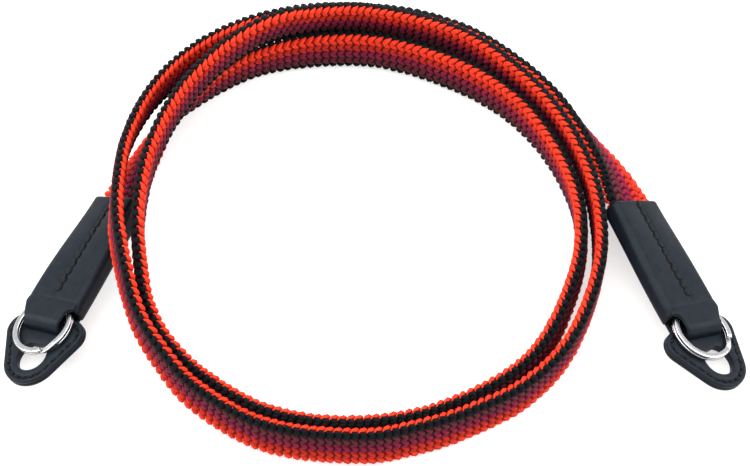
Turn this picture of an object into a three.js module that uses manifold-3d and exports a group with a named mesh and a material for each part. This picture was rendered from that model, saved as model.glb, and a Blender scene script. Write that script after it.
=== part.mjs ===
import * as THREE from 'three';
import { mergeVertices } from 'three/addons/utils/BufferGeometryUtils.js';
import Module from 'manifold-3d';

// A flat braided camera strap standing on edge in a coil of two and a half turns.
// Each end is held in a leather sleeve, whose tongue is folded round a split ring and
// through the slot of a ring guard. Millimetres, +Z up, the floor at z = 0.

const wasm = await Module();
wasm.setup();

// Strap: a flat tube of braid, so its two narrow edges are half round
const strapWidth = 13.3;
const strapThickness = 2.6;
const strapStations = 190;
const edgeSides = 5;

// Coil: the centre of its turns, and the turning angle where the strap leaves each sleeve
const coilCentre = { x: -2.6, y: 1.4 };
const coilColumns = ['turned', 'radius', 'lift', 'lean'];
// turned: degrees clockwise from the left; radius: to the middle of the band;
// lift: of the lower edge above the floor; lean: of the upper edge towards the coil's centre
const coilRows = [
  [17, 54.0, 0.8, 38],
  [30, 53.1, 0, 24],
  [45, 51.4, 0, 9],
  [59, 49.4, 0, 6],
  [75, 46.6, 0, 2],
  [95, 45.1, 0, 0],
  [120, 44.5, 0, 0],
  [140, 45.5, 0, 3],
  [160, 47.2, 0, 6],
  [180, 50.0, 0, 4],
  [200, 50.9, 0, 2],
  [225, 52.9, 0, 2],
  [250, 52.6, 0, 2],
  [272, 53.4, 0, 3],
  [292, 54.8, 0, 3],
  [310, 55.3, 0.8, 2],
  [322, 56.2, 4.2, 3],
  [331, 55.4, 6.6, 4],
  [341, 53.2, 9.6, 4],
  [353, 51.5, 12.8, 4],
  [370, 49.8, 13.6, 4],
  [388, 48.9, 13.6, 4],
  [405, 48.8, 13.6, 6],
  [418, 49.1, 13.5, 9],
  [426, 49.4, 12.6, 10],
  [433, 49.8, 10.8, 10],
  [441, 50.0, 9.2, 9],
  [450, 50.1, 7.8, 7],
  [465, 49.6, 6.4, 6],
  [480, 49.8, 5.4, 4],
  [495, 50.0, 4.2, 4],
  [510, 50.9, 3.0, 4],
  [525, 52.0, 2.0, 3],
  [540, 53.5, 1.2, 0],
  [555, 55.2, 0.8, -1],
  [575, 56.9, 0.6, -1],
  [590, 57.0, 0.4, 1],
  [605, 55.9, 0.2, 3],
  [617, 55.9, 0.1, 5],
  [630, 56.7, 0, 5],
  [652, 58.3, 0.2, 5],
  [670, 58.9, 2.0, 4],
  [682, 58.8, 6.0, 3],
  [690, 58.5, 8.8, 4],
  [700, 57.2, 11.2, 7],
  [712, 56.6, 12.3, 8],
  [722, 56.2, 11.8, 8],
  [735, 56.9, 10.0, 11],
  [750, 57.3, 7.5, 9],
  [765, 57.1, 5.0, 6],
  [780, 56.2, 3.0, 4],
  [795, 55.2, 1.0, 2],
  [810, 54.2, 0.1, 2],
  [825, 54.0, 0, 2],
  [840, 54.0, 0, 2],
  [855, 54.4, 0, 4],
  [866, 56.0, 0, 10],
  [875, 57.4, 0, 20],
  [882, 58.7, 0, 30],
  [889, 60.2, 0, 41],
];

// Ends: where the middle of the strap enters each sleeve, and which way the sleeve points.
// Each sleeve lies with its inner edge raised by the roll, which eases off towards the ring;
// the guard's tip is turned outwards by its yaw, the sleeve's low edge is drawn in by the taper,
// and the ring's wire starts at ringStart, in degrees round it from the sleeve's axis.
const ends = {
  left: {
    mouthX: -59.1, mouthY: 6.05, heading: -116.9, bend: 1, mouthRoll: 37, ringRoll: 25,
    guardYaw: -3.5, taper: 0, ringStart: 62,
  },
  right: {
    mouthX: 59.3, mouthY: 5.15, heading: -66.3, bend: 1, mouthRoll: 37, ringRoll: 27,
    guardYaw: 12, taper: 0.5, ringStart: -30,
  },
};
const bendStart = 14;
const bendEnd = 28;

// Sleeve: a leather tube round the strap's last stretch, measured along from its mouth
const sleeveWidth = 15.3;
const sleeveThickness = 5.1;
const sleeveLength = 31.2;
const sleeveEdge = 1.7;
const sleeveBevel = 0.3;
const taperStart = 4;
const sleeveStations = [sleeveBevel, 4, 8, 12, 15, 18, 21, 24, 27.5, sleeveLength - sleeveBevel];
const strapInSleeve = 21;
const pocketStations = [-1, 4, 8, 12, 15, 18, 22];
const fitGap = 0.3;

// Tongue: the sleeve's leather, narrowed in a notch each side and folded round the ring
const leather = 1.1;
const tongueHalfWidth = 5.1;
const tongueEnd = 37.0;
const tongueTop = 2.75;
const foldRadius = 2.2;
const foldSides = 8;
const notchRadius = 2.2;
const notchCentre = 33.4;
const notchSides = 20;
const shoulderEnd = 35.4;
const shoulderInset = 0.6;
const shoulderDrop = 0.25;

// Ring guard: a leather plate with a lug hole, and a slot that the tongue passes through
const guardTop = -0.5;
const guardThickness = 2.0;
const guardEdge = 0.35;
const guardRear = 32.8;
const guardRearHalfWidth = 9.3;
const guardCorner = 2.2;
const guardWide = 36.6;
const guardHalfWidth = 10.6;
const guardSideRadius = 4.0;
const guardTip = 43.4;
const guardTipRadius = 7.1;
const guardSides = 44;
const lugHoleCentre = 43.3;
const lugHoleRadius = 3.8;
const lugHoleSides = 28;
const slotRear = 35.5;
const slotFront = 37.9;
const slotHalfWidth = 5.5;
const guardPivot = (slotRear + slotFront) / 2;

// Hollow at the sleeve's end, where the ring turns above the tongue's returning layer
const underlayerTop = guardTop - guardThickness - fitGap;
const loopStart = 28.0;
const hollowHalfWidth = 6.2;

// Split ring: flat wire wound twice, resting on the guard
const ringOuter = 7.5;
const ringInner = 6.2;
const ringCentre = 36.0;
const ringBottom = guardTop + fitGap;
const ringWire = 0.72;
const ringPitch = 0.84;
const ringEdge = 0.18;
const ringJog = 34;
const ringStep = 13;

const floorGap = 0.15;
const degrees = Math.PI / 180;

// Cubic through the values at the knots, with the slope at each knot taken from its neighbours
function smoothAt(knots, values, at) {
  let i = 0;
  while (i < knots.length - 2 && at > knots[i + 1]) i += 1;
  const slope = (k) => {
    const low = Math.max(k - 1, 0);
    const high = Math.min(k + 1, knots.length - 1);
    return (values[high] - values[low]) / (knots[high] - knots[low]);
  };
  const span = knots[i + 1] - knots[i];
  const t = (at - knots[i]) / span;
  const rise = values[i + 1] - values[i];
  const startSlope = slope(i) * span;
  const endSlope = slope(i + 1) * span;
  const square = t * t * (3 * rise - 2 * startSlope - endSlope);
  const cube = t * t * t * (startSlope + endSlope - 2 * rise);
  return values[i] + t * startSlope + square + cube;
}

// Where a sleeve's axis runs: straight, then a gentle arc, then straight again to the ring
function axisPoint(end, a) {
  const heading = end.heading * degrees;
  const bend = end.bend * degrees;
  const radius = (bendEnd - bendStart) / bend;
  const straight = Math.min(a, bendStart);
  const turned = bend * THREE.MathUtils.clamp((a - bendStart) / (bendEnd - bendStart), 0, 1);
  const beyond = Math.max(a - bendEnd, 0);
  const angle = heading + turned;
  const x = end.mouthX + straight * Math.cos(heading)
    + radius * (Math.sin(angle) - Math.sin(heading)) + beyond * Math.cos(angle);
  const y = end.mouthY + straight * Math.sin(heading)
    - radius * (Math.cos(angle) - Math.cos(heading)) + beyond * Math.sin(angle);
  return { x, y, angle };
}

// One end's own frame: a along the sleeve, b across towards the coil, c up from its face
function endFrame(end) {
  const mirrored = end.mouthX > 0;
  const rollAt = (a) => {
    const t = THREE.MathUtils.smoothstep(a, 0, loopStart);
    return THREE.MathUtils.lerp(end.mouthRoll, end.ringRoll, t) * degrees;
  };
  const axisHeight = (a) => {
    const roll = rollAt(a);
    const sleeve = lowestOf(sleeveWidth / 2, sleeveThickness / 2, sleeveEdge, roll);
    const guard = lowestOf(guardHalfWidth, guardThickness - guardTop, guardEdge, roll);
    return floorGap + THREE.MathUtils.lerp(sleeve, guard, THREE.MathUtils.smoothstep(a, 0, loopStart));
  };
  const place = (a, b, c) => {
    const axis = axisPoint(end, a);
    const roll = rollAt(a);
    const sideways = (b * Math.cos(roll) - c * Math.sin(roll)) * (mirrored ? -1 : 1);
    return new THREE.Vector3(
      axis.x - sideways * Math.sin(axis.angle),
      axis.y + sideways * Math.cos(axis.angle),
      axisHeight(a) + b * Math.sin(roll) + c * Math.cos(roll),
    );
  };
  const yaw = end.guardYaw * degrees;
  const drawnIn = (a) => end.taper * THREE.MathUtils.smoothstep(a, taperStart, sleeveLength);
  return { place, rollAt, mirrored, yaw, drawnIn, ringStart: end.ringStart };
}

// How far the lowest point of a rolled bar with rounded edges lies under its axis
function lowestOf(halfWidth, halfThickness, edge, roll) {
  return (halfWidth - edge) * Math.sin(roll) + (halfThickness - edge) * Math.cos(roll) + edge;
}

// A closed solid through a row of rings of points, with a flat fan over each end
function loft(rings, flipped = false) {
  const count = rings[0].length;
  const points = rings.flat();
  const triangles = [];
  const add = (a, b, c) => triangles.push(...(flipped ? [a, c, b] : [a, b, c]));
  for (let r = 0; r < rings.length - 1; r += 1) {
    for (let k = 0; k < count; k += 1) {
      const next = (k + 1) % count;
      const a = r * count + k;
      const b = r * count + next;
      add(a, b, a + count);
      add(b, b + count, a + count);
    }
  }
  const last = (rings.length - 1) * count;
  for (let k = 1; k < count - 1; k += 1) {
    add(0, k + 1, k);
    add(last, last + k, last + k + 1);
  }
  const geometry = new THREE.BufferGeometry();
  const flat = points.flatMap((point) => [point.x, point.y, point.z]);
  geometry.setAttribute('position', new THREE.Float32BufferAttribute(flat, 3));
  geometry.setIndex(triangles);
  return geometry;
}

function toSolid(geometry) {
  const merged = mergeVertices(geometry);
  return new wasm.Manifold(new wasm.Mesh({
    numProp: 3,
    vertProperties: Float32Array.from(merged.attributes.position.array),
    triVerts: Uint32Array.from(merged.index.array),
  }));
}

function toGeometry(solid) {
  const result = solid.getMesh();
  const geometry = new THREE.BufferGeometry();
  geometry.setAttribute('position', new THREE.BufferAttribute(result.vertProperties, 3));
  geometry.setIndex(new THREE.BufferAttribute(result.triVerts, 1));
  return geometry;
}

// Section of a flat bar with round corners, anticlockwise as [across, normal]
function barSection(halfWidth, halfThickness, corner, steps) {
  const points = [];
  const corners = [[1, 1, 0], [-1, 1, 90], [-1, -1, 180], [1, -1, 270]];
  for (const [sideways, upright, from] of corners) {
    for (let k = 0; k <= steps; k += 1) {
      const angle = (from + (90 * k) / steps) * degrees;
      points.push([
        sideways * (halfWidth - corner) + corner * Math.cos(angle),
        upright * (halfThickness - corner) + corner * Math.sin(angle),
      ]);
    }
  }
  return points;
}

// Section of the strap: two half-round edges joined by flat faces, as [across, normal]
function strapSection() {
  const radius = strapThickness / 2;
  const points = [];
  for (const side of [1, -1]) {
    for (let k = 0; k <= edgeSides; k += 1) {
      const angle = (-90 + (180 * k) / edgeSides) * degrees;
      const across = side * (strapWidth / 2 - radius + radius * Math.cos(angle));
      points.push([across, side * radius * Math.sin(angle)]);
    }
  }
  return points;
}

// The strap's route from the bottom of one sleeve to the bottom of the other
function strapRoute(leftFrame, rightFrame) {
  const route = [];
  const addInSleeve = (frame, a) => {
    const point = frame.place(a, 0, 0);
    route.push({ x: point.x, y: point.y, z: point.z, lean: 90 - frame.rollAt(a) / degrees });
  };
  for (const a of [strapInSleeve, strapInSleeve / 2, 0]) addInSleeve(leftFrame, a);
  for (const row of coilRows) {
    const value = Object.fromEntries(coilColumns.map((name, k) => [name, row[k]]));
    const angle = (180 - value.turned) * degrees;
    const half = strapThickness / 2;
    const rise = lowestOf(half, strapWidth / 2, half, value.lean * degrees);
    route.push({
      x: coilCentre.x + value.radius * Math.cos(angle),
      y: coilCentre.y + value.radius * Math.sin(angle),
      z: floorGap + value.lift + rise,
      lean: value.lean,
    });
  }
  for (const a of [0, strapInSleeve / 2, strapInSleeve]) addInSleeve(rightFrame, a);
  return route;
}

// Rings of the strap's section, square to the route and leaning as the table says
function strapRings(route) {
  const knots = [0];
  for (let i = 1; i < route.length; i += 1) {
    const [from, to] = [route[i - 1], route[i]];
    knots.push(knots[i - 1] + Math.hypot(to.x - from.x, to.y - from.y, to.z - from.z));
  }
  const column = (name) => route.map((row) => row[name]);
  const columns = { x: column('x'), y: column('y'), z: column('z'), lean: column('lean') };
  const at = (s, name) => smoothAt(knots, columns[name], s);
  const middle = (s) => new THREE.Vector3(at(s, 'x'), at(s, 'y'), at(s, 'z'));
  const length = knots[knots.length - 1];
  const step = length / strapStations;
  const section = strapSection();
  const rings = [];
  for (let k = 0; k <= strapStations; k += 1) {
    const s = k * step;
    const back = middle(Math.max(s - step / 4, 0));
    const ahead = middle(Math.min(s + step / 4, length));
    const travel = ahead.sub(back).normalize();
    const inward = travel.clone().cross(new THREE.Vector3(0, 0, 1)).normalize();
    const upward = inward.clone().cross(travel);
    const lean = at(s, 'lean') * degrees;
    const widthAxis = upward.clone().multiplyScalar(Math.cos(lean)).addScaledVector(inward, Math.sin(lean));
    const outAxis = upward.clone().multiplyScalar(Math.sin(lean)).addScaledVector(inward, -Math.cos(lean));
    const centre = middle(s);
    rings.push(section.map(([across, normal]) => centre.clone()
      .addScaledVector(widthAxis, across)
      .addScaledVector(outAxis, normal)));
  }
  return rings;
}

// Rings of an end piece: at each distance along, a section placed in the end's frame
function endSolid(frame, stations) {
  const rings = stations.map(([a, section]) => section.map(([b, c]) => frame.place(a, b, c)));
  return toSolid(loft(rings, frame.mirrored));
}

// A plate in an end's frame: an outline of [along, across] between two heights
function plateSolid(frame, outline, layers) {
  const rings = layers.map(([c, grow]) => outline(grow).map(([a, b]) => frame.place(a, b, c)));
  return toSolid(loft(rings, frame.mirrored));
}

// A straight block in an end's frame, between two values of each of its coordinates
function block(frame, [a0, a1], [b0, b1], [c0, c1]) {
  const section = [[b1, c0], [b1, c1], [b0, c1], [b0, c0]];
  return endSolid(frame, [[a0, section], [a1, section]]);
}

// An upright round bar in an end's frame
function bar(frame, [a, b], radius, [c0, c1], sides) {
  const circle = () => Array.from({ length: sides }, (_, k) => {
    const angle = (2 * Math.PI * k) / sides;
    return [a + radius * Math.cos(angle), b + radius * Math.sin(angle)];
  });
  return plateSolid(frame, circle, [[c0, 0], [c1, 0]]);
}

// Sleeve: the tube with its pocket for the strap, the hollow where the ring turns, and the tongue
function buildSleeve(frame) {
  const outer = (a, inset) => {
    const halfWidth = sleeveWidth / 2 - inset;
    const lowSide = 1 - frame.drawnIn(a) / halfWidth;
    return barSection(halfWidth, sleeveThickness / 2 - inset, sleeveEdge - inset, 4)
      .map(([b, c]) => [b < 0 ? b * lowSide : b, c]);
  };
  const body = endSolid(frame, [
    [0, outer(0, sleeveBevel)],
    ...sleeveStations.map((a) => [a, outer(a, 0)]),
    [sleeveLength, outer(sleeveLength, sleeveBevel)],
  ]);
  const pocketHeight = strapThickness / 2 + fitGap;
  const pocketSection = barSection(strapWidth / 2 + fitGap, pocketHeight, pocketHeight - 0.01, 4);
  const pocket = endSolid(frame, pocketStations.map((a) => [a, pocketSection]));
  const hollow = block(
    frame,
    [loopStart, sleeveLength + 1],
    [-hollowHalfWidth, hollowHalfWidth],
    [underlayerTop, tongueTop - leather],
  );
  return body.subtract(pocket).subtract(hollow).add(buildShoulder(frame)).add(buildTongue(frame));
}

// Shoulder: the upper leather narrows to the tongue, in a round notch on the raised side
// and a slanting cut on the low one
function buildShoulder(frame) {
  const layer = [tongueTop - leather, tongueTop - shoulderDrop];
  const halfWidth = sleeveWidth / 2 - shoulderInset;
  const lowSide = halfWidth - frame.drawnIn(sleeveLength);
  const outline = () => [
    [loopStart - 1, -lowSide],
    [sleeveLength, -lowSide],
    [shoulderEnd, -tongueHalfWidth],
    [shoulderEnd, halfWidth],
    [loopStart - 1, halfWidth],
  ];
  const sheet = plateSolid(frame, outline, [[layer[0], 0], [layer[1], 0]]);
  const through = [layer[0] - 1, layer[1] + 1];
  const notch = bar(frame, [notchCentre, tongueHalfWidth + notchRadius], notchRadius, through, notchSides);
  const beside = [tongueHalfWidth, halfWidth + 1];
  return sheet.subtract(notch).subtract(block(frame, [notchCentre, shoulderEnd + 1], beside, through));
}

// Tongue: one strip of leather over the ring, down through the guard's slot and back underneath
function buildTongue(frame) {
  const outside = tongueProfile(loopStart - 3, 0);
  const inside = tongueProfile(loopStart, leather);
  const strip = (profile, halfWidth) => {
    const rings = [halfWidth, -halfWidth].map((b) => profile.map(([a, c]) => frame.place(a, b, c)));
    return toSolid(loft(rings, frame.mirrored));
  };
  return strip(outside, tongueHalfWidth).subtract(strip(inside, tongueHalfWidth + 1));
}

// Side view of the tongue's fold as [along, up], shrunk by the inset, starting at the given place
function tongueProfile(start, inset) {
  const top = tongueTop - inset;
  const bottom = underlayerTop - leather + inset;
  const fold = foldRadius - inset;
  const points = [[start, top], [start, bottom]];
  for (let k = 0; k <= foldSides; k += 1) {
    const angle = (-90 + (180 * k) / foldSides) * degrees;
    const straight = Math.sign(Math.round(Math.sin(angle) * 100));
    const level = { '-1': bottom + fold, 0: (top + bottom) / 2, 1: top - fold }[straight];
    points.push([tongueEnd - foldRadius + fold * Math.cos(angle), level + fold * Math.sin(angle)]);
  }
  return points;
}

// A point of the guard, turned with it about the middle of its slot
function turnGuard({ yaw }, [a, b]) {
  const ahead = a - guardPivot;
  return [
    guardPivot + ahead * Math.cos(yaw) + b * Math.sin(yaw),
    b * Math.cos(yaw) - ahead * Math.sin(yaw),
  ];
}

// Guard outline: the rim of a sheet stretched round its corner, side and tip circles
function guardOutline(grow) {
  const circles = [
    { a: guardRear + guardCorner, b: guardRearHalfWidth - guardCorner, radius: guardCorner },
    { a: guardWide, b: guardHalfWidth - guardSideRadius, radius: guardSideRadius },
    { a: guardTip, b: 0, radius: guardTipRadius },
  ];
  const points = [];
  for (let k = 0; k < guardSides; k += 1) {
    const angle = (2 * Math.PI * (k + 0.5)) / guardSides;
    const [x, y] = [Math.cos(angle), Math.sin(angle)];
    const reach = ({ a, b, radius }) => a * x + b * Math.abs(y) + radius;
    const widest = circles.reduce((best, circle) => (reach(circle) > reach(best) ? circle : best));
    const radius = widest.radius + grow;
    points.push([widest.a + radius * x, Math.sign(y) * widest.b + radius * y]);
  }
  return points;
}

function buildGuard(frame) {
  const bottom = guardTop - guardThickness;
  const outline = (grow) => guardOutline(grow).map((point) => turnGuard(frame, point));
  const plate = plateSolid(frame, outline, [
    [bottom, -guardEdge],
    [bottom + guardEdge, 0],
    [guardTop - guardEdge, 0],
    [guardTop, -guardEdge],
  ]);
  const through = [bottom - 1, guardTop + 1];
  const hole = bar(frame, turnGuard(frame, [lugHoleCentre, 0]), lugHoleRadius, through, lugHoleSides);
  const slot = block(frame, [slotRear, slotFront], [-slotHalfWidth, slotHalfWidth], through);
  return plate.subtract(hole).subtract(slot);
}

// Split ring: flat wire wound almost twice round, stepping up by one wire at the jog
function buildRing(frame) {
  const wire = (ringOuter - ringInner) / 2;
  const section = barSection(wire, ringWire / 2, ringEdge, 1);
  const total = 720 - ringJog;
  const steps = Math.round(total / ringStep);
  const rings = [];
  for (let k = 0; k <= steps; k += 1) {
    const turn = (total * k) / steps;
    const climb = THREE.MathUtils.smoothstep(turn, 360 - ringJog, 360);
    const angle = (frame.ringStart + turn) * degrees;
    const middle = ringBottom + ringWire / 2 + climb * ringPitch;
    rings.push(section.map(([across, up]) => {
      const radius = (ringOuter + ringInner) / 2 + across;
      return frame.place(
        ringCentre + radius * Math.cos(angle),
        radius * Math.sin(angle),
        middle + up,
      );
    }));
  }
  return toSolid(loft(rings, !frame.mirrored));
}

const material = (colour, roughness, metalness) => new THREE.MeshStandardMaterial({
  color: colour,
  roughness,
  metalness,
});

const object = new THREE.Group();

function addMesh(name, geometry, look) {
  const mesh = new THREE.Mesh(geometry, look);
  mesh.name = name;
  object.add(mesh);
}

const braid = material('#c4382c', 0.85, 0);
const blackLeather = material('#20262d', 0.5, 0);
const steel = material('#d6d6da', 0.2, 1);

const frames = { left: endFrame(ends.left), right: endFrame(ends.right) };
addMesh('strap_band', loft(strapRings(strapRoute(frames.left, frames.right)), true), braid);
for (const [side, frame] of Object.entries(frames)) {
  addMesh(`${side}_sleeve`, toGeometry(buildSleeve(frame)), blackLeather);
  addMesh(`${side}_ring_guard`, toGeometry(buildGuard(frame)), blackLeather);
  addMesh(`${side}_split_ring`, toGeometry(buildRing(frame)), steel);
}

export default object;
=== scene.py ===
import bpy
import numpy as np
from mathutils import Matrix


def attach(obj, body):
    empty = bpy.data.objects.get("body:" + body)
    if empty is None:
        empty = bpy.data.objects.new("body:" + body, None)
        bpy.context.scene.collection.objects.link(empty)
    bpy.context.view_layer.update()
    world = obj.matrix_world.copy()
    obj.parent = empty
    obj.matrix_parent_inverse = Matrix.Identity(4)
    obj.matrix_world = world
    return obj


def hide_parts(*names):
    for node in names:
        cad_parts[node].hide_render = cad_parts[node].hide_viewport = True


# A knitted camera strap standing on edge in a coil, with a leather sleeve, a split ring
# and a ring guard at each end. Sizes are in millimetres here and become metres in makeMesh.

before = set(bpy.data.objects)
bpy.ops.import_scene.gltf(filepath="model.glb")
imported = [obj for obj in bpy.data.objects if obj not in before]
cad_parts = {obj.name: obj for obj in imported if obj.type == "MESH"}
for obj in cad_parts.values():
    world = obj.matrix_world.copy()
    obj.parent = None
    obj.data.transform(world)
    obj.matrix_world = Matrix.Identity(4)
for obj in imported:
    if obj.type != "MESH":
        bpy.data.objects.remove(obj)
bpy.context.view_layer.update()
print("packed model loaded")


def toLinear(hexColour):
    # sRGB hex to linear: the low part is divided by 12.92, the rest follows the 2.4 power curve
    channels = np.array([int(hexColour[k:k + 2], 16) for k in (1, 3, 5)]) / 255
    linear = np.where(channels <= 0.04045, channels / 12.92, ((channels + 0.055) / 1.055) ** 2.4)
    return (*linear, 1.0)


def smoothStep(value, low, high):
    # 0 before low, 1 after high, and 3t^2 - 2t^3 between them
    t = np.clip((value - low) / (high - low), 0, 1)
    return t * t * (3 - 2 * t)


def addNode(tree, kind, settings=None, inputs=None):
    # Adds one node, sets its properties, and fills each input with a number or a link
    node = tree.nodes.new(kind)
    for name, value in (settings or {}).items():
        setattr(node, name, value)
    for name, value in (inputs or {}).items():
        if isinstance(value, bpy.types.NodeSocket):
            tree.links.new(value, node.inputs[name])
        else:
            node.inputs[name].default_value = value
    return node


def newMaterial(name):
    material = bpy.data.materials.new(name)
    material.use_nodes = True
    tree = material.node_tree
    tree.nodes.clear()
    return material, tree


def makeMesh(name, points, faces, material, nodes=()):
    # faces has four columns, with -1 in the last one of a triangle
    points = np.asarray(points, float).reshape(-1, 3) / 1000
    used = faces >= 0
    starts = np.concatenate([[0], np.cumsum(used.sum(1))[:-1]])
    mesh = bpy.data.meshes.new(name)
    mesh.vertices.add(len(points))
    mesh.vertices.foreach_set("co", points.ravel())
    mesh.loops.add(int(used.sum()))
    mesh.loops.foreach_set("vertex_index", faces[used].astype(np.int32))
    mesh.polygons.add(len(faces))
    mesh.polygons.foreach_set("loop_start", starts.astype(np.int32))
    mesh.polygons.foreach_set("use_smooth", np.ones(len(faces), bool))
    mesh.update(calc_edges=True)
    mesh.validate()
    mesh.materials.append(material)
    piece = bpy.data.objects.new(name, mesh)
    bpy.context.scene.collection.objects.link(piece)
    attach(piece, "root")
    if nodes:
        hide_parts(*nodes)
    return piece


def gridFaces(rows, columns, closedRows=False, closedColumns=True, flip=False):
    # Quads between neighbouring rows and columns, the last joined to the first where closed
    r = np.arange(rows if closedRows else rows - 1)[:, None]
    c = np.arange(columns if closedColumns else columns - 1)[None, :]
    nextRow = (r + 1) % rows
    nextColumn = (c + 1) % columns
    near = [r * columns + c, r * columns + nextColumn]
    far = [nextRow * columns + nextColumn, nextRow * columns + c]
    quads = np.stack([np.broadcast_to(q, (r.size, c.size)) for q in near + far], -1).reshape(-1, 4)
    return quads[:, ::-1] if flip else quads


def cappedTube(rings, flip=False):
    # A closed body through rings of points, with a fan of triangles from the middle of each end ring
    rows, columns, _ = rings.shape
    points = np.concatenate([rings.reshape(-1, 3), rings[:1].mean(1), rings[-1:].mean(1)])
    k = np.arange(columns)
    ahead = (k + 1) % columns
    none = np.full(columns, -1)
    last = (rows - 1) * columns
    startFan = np.stack([ahead, k, np.full(columns, rows * columns), none], 1)
    endFan = np.stack([last + k, last + ahead, np.full(columns, rows * columns + 1), none], 1)
    fans = np.concatenate([startFan, endFan])
    if flip:
        fans = fans[:, [1, 0, 2, 3]]
    return points, np.concatenate([gridFaces(rows, columns, flip=flip), fans])


def seedShape(around, stations, radii):
    # A closed seed along x: rings of points whose radius follows the stations, with a pole at each end
    angle = 2 * np.pi * np.arange(around) / around
    x = np.repeat(stations, around)
    radius = np.repeat(radii, around)
    circle = np.tile(np.stack([np.cos(angle), np.sin(angle)], 1), (len(stations), 1))
    rings = np.stack([x, radius * circle[:, 0], radius * circle[:, 1]], 1)
    points, faces = cappedTube(rings.reshape(len(stations), around, 3))
    points[-2] = (-1, 0, 0)
    points[-1] = (1, 0, 0)
    run = np.stack([np.arctan2(points[:, 2], points[:, 1]) / (2 * np.pi) + 0.5, points[:, 0] / 2 + 0.5], 1)
    return points, faces, run


def repeatFaces(faces, vertexCount, copies):
    # The same faces for each copy, with the indices moved on by one shape's vertices
    moved = faces[None] + (np.arange(copies) * vertexCount)[:, None, None]
    return np.where(faces[None] < 0, -1, moved).reshape(-1, 4)


ends = {
    "left": {"mouthX": -59.1, "mouthY": 6.05, "heading": -116.9, "bend": 1, "mouthRoll": 37,
             "ringRoll": 25, "guardYaw": -3.5, "taper": 0.0, "ringStart": 62, "side": 1},
    "right": {"mouthX": 59.3, "mouthY": 5.15, "heading": -66.3, "bend": 1, "mouthRoll": 37,
              "ringRoll": 27, "guardYaw": 12, "taper": 0.5, "ringStart": -30, "side": -1},
}
floorGap = 0.15
coilCentre = (-2.6, 1.4)
# Coil rows: turned (degrees clockwise from the left), radius, lift above the floor, lean inwards
coilRows = np.array([
    [17, 54.0, 0.8, 38], [30, 53.1, 0, 24], [45, 51.4, 0, 9], [59, 49.6, 0, 6], [75, 47.3, 0, 1],
    [95, 45.6, 0, 0], [120, 44.9, 0, -2], [140, 46.4, 0, -1], [160, 48.0, 0, 2], [180, 50.2, 0, 4],
    [200, 50.9, 0, 2], [225, 52.9, 0, 2], [250, 52.6, 0, 2], [272, 53.4, 0, 3], [292, 54.8, 0, 3],
    [310, 55.3, 0.8, 2], [322, 56.2, 4.2, 3], [331, 55.4, 6.6, 4], [341, 53.2, 9.6, 4],
    [353, 51.5, 12.8, 4], [370, 49.8, 13.6, 4], [388, 48.9, 13.6, 4], [405, 48.8, 13.6, 6],
    [418, 49.1, 13.5, 9], [426, 49.4, 12.6, 10], [433, 49.6, 10.8, 10], [441, 49.8, 9.2, 9],
    [450, 49.9, 7.8, 7], [465, 49.7, 6.4, 6], [480, 50.1, 5.4, 4], [495, 50.4, 4.2, 4],
    [510, 51.5, 3.0, 4], [525, 52.8, 2.0, 3], [540, 54.2, 1.2, 0], [555, 55.5, 0.8, -1],
    [575, 56.9, 0.6, -1], [590, 57.0, 0.4, 1], [605, 55.9, 0.2, 3], [617, 55.9, 0.1, 5],
    [630, 56.7, 0, 5], [652, 58.3, 0.2, 5], [670, 58.9, 2.0, 4], [682, 58.8, 6.0, 3],
    [690, 58.5, 8.8, 4], [700, 57.2, 11.2, 7], [712, 56.6, 12.3, 8], [722, 56.2, 11.8, 8],
    [735, 56.9, 10.0, 11], [750, 57.3, 7.5, 9], [765, 57.1, 5.0, 6], [780, 56.2, 3.0, 4],
    [795, 55.2, 1.0, 2], [810, 54.2, 0.1, 2], [825, 54.0, 0, 2], [840, 54.0, 0, 2], [855, 54.0, 0, 4],
    [866, 55.2, 0, 10], [875, 56.6, 0, 20], [882, 58.2, 0, 30], [889, 60.2, 0, 41],
])
strap = {
    "width": 13.3, "thickness": 2.6, "inSleeve": 21, "coreInset": 0.42,
    "axisSteps": 3001, "coreSteps": 600,
    "columns": 20,           # upright columns of stitches round the flat tube, two to each rib
    "stitchPitch": 1.85,     # from one stitch to the next along a column
    "tilt": 47,              # of a stitch from the strap's run, alternating to make the ribs' arrowheads
    "stitchLength": 2.75, "stitchWidth": 1.3, "middleWidth": 1.2, "stitchHeight": 0.62, "sunk": 0.36,
    "patternShift": 0.45,    # of all the columns down the inner face, from the middle of the upper edge
    "firstStitch": 18, "lastStitch": 18,     # mm from each end of the strap, just inside the sleeves
    # the orange stitches at the edges lap over the black ones
    "edgeShift": 0.35, "edgeLength": 1.12, "edgeRise": 0.08,
    # a stitch's own shape: its radius at stations from -1 to 1, with a pole at each end
    "seedSides": 8, "seedStations": (-0.85, -0.42, 0.12, 0.62), "seedRadii": (0.6, 1.0, 0.92, 0.52),
    # spread of the stitches in mm, degrees and tone
    "randomSeed": 7, "spreadAlong": 0.05, "spreadTilt": 2.5, "spreadHeight": 0.03, "spreadTone": 0.22,
}
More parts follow.
